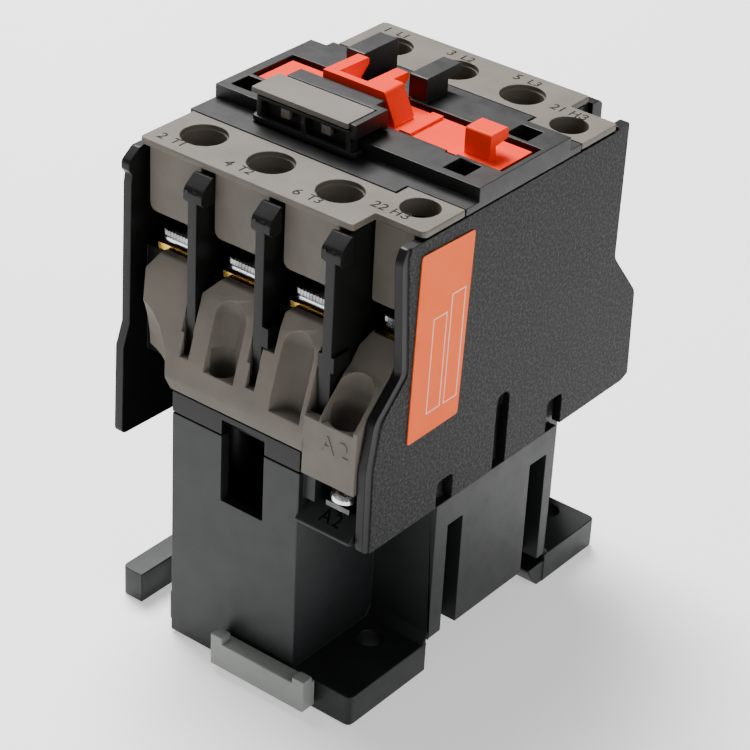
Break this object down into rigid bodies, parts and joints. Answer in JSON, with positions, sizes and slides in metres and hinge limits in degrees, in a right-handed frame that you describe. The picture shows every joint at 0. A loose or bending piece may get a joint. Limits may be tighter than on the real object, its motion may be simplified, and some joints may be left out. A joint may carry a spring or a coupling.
{
  "type": "industrial control relay",
  "caption": "Rail-mounted contactor type control relay with screw terminals, a sprung contact carrier, a magnet coil and a sliding rail clip.",
  "frame": {"origin": "middle of the bounding box's footprint, on the plane of the feet, which is the mounting panel", "axes": "+X along the row of terminals towards the auxiliary pole, +Y from the load side to the line side, +Z away from the panel towards the front of the relay"},
  "size_m": [0.0563, 0.0818, 0.0985],
  "materials": {
    "black_plastic": "smooth satin moulded black",
    "grained_black_plastic": "fine sandblasted grain",
    "warm_grey_plastic": "satin warm grey",
    "tag_grey_plastic": "satin",
    "light_grey_plastic": "satin",
    "orange_plastic": "satin red-orange",
    "orange_label": "printed film",
    "laminated_iron": "ground laminations",
    "copper": "satin copper alloy",
    "rubber": "matte",
    "cream_plastic": "satin",
    "enamelled_wire": "wound enamelled copper under clear tape",
    "zinc_steel": "bright zinc plate",
    "dark_steel": "dark passivated steel",
    "brass": "stamped brass"
  },
  "bodies": {
    "housing": {"base_housing": "black_plastic", "upper_housing": "grained_black_plastic", "top_cover": "black_plastic", "tag_holder": "black_plastic", "tag_plate": "tag_grey_plastic", "side_label": "orange_label", "magnet_core": "laminated_iron", "shading_ring_left": "copper", "shading_ring_right": "copper", "core_cushion": "rubber", "coil_bobbin": "cream_plastic", "coil_winding": "enamelled_wire", "return_spring": "zinc_steel", "terminal_cover_load": "warm_grey_plastic", "wire_guide_load": "warm_grey_plastic", "housing_screw_load": "zinc_steel", "coil_terminal_load": "brass", "terminal_cover_line": "warm_grey_plastic", "wire_guide_line": "warm_grey_plastic", "housing_screw_line": "zinc_steel", "coil_terminal_line": "brass", "contact_T1": "brass", "washer_T1": "zinc_steel", "contact_L1": "brass", "washer_L1": "zinc_steel", "contact_T2": "brass", "washer_T2": "zinc_steel", "contact_L2": "brass", "washer_L2": "zinc_steel", "contact_T3": "brass", "washer_T3": "zinc_steel", "contact_L3": "brass", "washer_L3": "zinc_steel", "contact_22": "brass", "washer_22": "zinc_steel", "contact_21": "brass", "washer_21": "zinc_steel"},
    "contact_carrier": {"contact_carrier": "orange_plastic", "armature": "laminated_iron", "armature_pin": "zinc_steel", "contact_spring_1": "zinc_steel", "contact_spring_2": "zinc_steel", "contact_spring_3": "zinc_steel", "contact_spring_aux": "zinc_steel"},
    "rail_clip": {"din_clip": "light_grey_plastic"},
    "bridge_1": {"bridge_1": "copper"},
    "bridge_2": {"bridge_2": "copper"},
    "bridge_3": {"bridge_3": "copper"},
    "bridge_aux": {"bridge_aux": "copper"},
    "screw_T1": {"screw_T1": "dark_steel"},
    "screw_T2": {"screw_T2": "dark_steel"},
    "screw_T3": {"screw_T3": "dark_steel"},
    "screw_L1": {"screw_L1": "dark_steel"},
    "screw_L2": {"screw_L2": "dark_steel"},
    "screw_L3": {"screw_L3": "dark_steel"},
    "screw_22": {"screw_22": "dark_steel"},
    "screw_21": {"screw_21": "dark_steel"},
    "coil_screw_load": {"coil_screw_load": "zinc_steel"},
    "coil_screw_line": {"coil_screw_line": "zinc_steel"}
  },
  "joints": [
    {"name": "carrier_travel", "type": "slide", "parent": "housing", "child": "contact_carrier", "axis": [0, 0, 1], "range_m": [-0.0055, 0], "stiffness_N_per_m": 800, "springref_m": 0.005, "deforming": ["return_spring"]},
    {"name": "rail_clip_pull", "type": "slide", "parent": "housing", "child": "rail_clip", "axis": [0, -1, 0], "range_m": [0, 0.004], "stiffness_N_per_m": 400},
    {"name": "bridge_1_float", "type": "slide", "parent": "contact_carrier", "child": "bridge_1", "axis": [0, 0, 1], "range_m": [0, 0.0016], "deforming": ["contact_spring_1"]},
    {"name": "bridge_2_float", "type": "slide", "parent": "contact_carrier", "child": "bridge_2", "axis": [0, 0, 1], "range_m": [0, 0.0016], "deforming": ["contact_spring_2"]},
    {"name": "bridge_3_float", "type": "slide", "parent": "contact_carrier", "child": "bridge_3", "axis": [0, 0, 1], "range_m": [0, 0.0016], "deforming": ["contact_spring_3"]},
    {"name": "bridge_aux_float", "type": "slide", "parent": "contact_carrier", "child": "bridge_aux", "axis": [0, 0, 1], "range_m": [0, 0.001], "deforming": ["contact_spring_aux"]},
    {"name": "screw_T1_turn", "type": "hinge", "parent": "housing", "child": "screw_T1", "pos_m": [-0.0195, -0.0232, 0.0722], "axis": [0, 0, 1], "continuous": true},
    {"name": "screw_T2_turn", "type": "hinge", "parent": "housing", "child": "screw_T2", "pos_m": [-0.005, -0.0232, 0.0722], "axis": [0, 0, 1], "continuous": true},
    {"name": "screw_T3_turn", "type": "hinge", "parent": "housing", "child": "screw_T3", "pos_m": [0.0095, -0.0232, 0.0722], "axis": [0, 0, 1], "continuous": true},
    {"name": "screw_L1_turn", "type": "hinge", "parent": "housing", "child": "screw_L1", "pos_m": [-0.0195, 0.0266, 0.0722], "axis": [0, 0, 1], "continuous": true},
    {"name": "screw_L2_turn", "type": "hinge", "parent": "housing", "child": "screw_L2", "pos_m": [-0.005, 0.0266, 0.0722], "axis": [0, 0, 1], "continuous": true},
    {"name": "screw_L3_turn", "type": "hinge", "parent": "housing", "child": "screw_L3", "pos_m": [0.0095, 0.0266, 0.0722], "axis": [0, 0, 1], "continuous": true},
    {"name": "screw_22_turn", "type": "hinge", "parent": "housing", "child": "screw_22", "pos_m": [0.0223, -0.01885, 0.07], "axis": [0, 0, 1], "continuous": true},
    {"name": "screw_21_turn", "type": "hinge", "parent": "housing", "child": "screw_21", "pos_m": [0.0223, 0.02225, 0.07], "axis": [0, 0, 1], "continuous": true},
    {"name": "coil_screw_load_turn", "type": "hinge", "parent": "housing", "child": "coil_screw_load", "pos_m": [0.0215, -0.0333, 0.0423], "axis": [0, 0, 1], "continuous": true},
    {"name": "coil_screw_line_turn", "type": "hinge", "parent": "housing", "child": "coil_screw_line", "pos_m": [0.0215, 0.0367, 0.0423], "axis": [0, 0, 1], "continuous": true}
  ],
  "couplings": [
    {"joint": "bridge_1_float", "follows": "carrier_travel", "ratio": -0.29091},
    {"joint": "bridge_2_float", "follows": "carrier_travel", "ratio": -0.29091},
    {"joint": "bridge_3_float", "follows": "carrier_travel", "ratio": -0.29091},
    {"joint": "bridge_aux_float", "follows": "carrier_travel", "ratio": -0.18182}
  ]
}
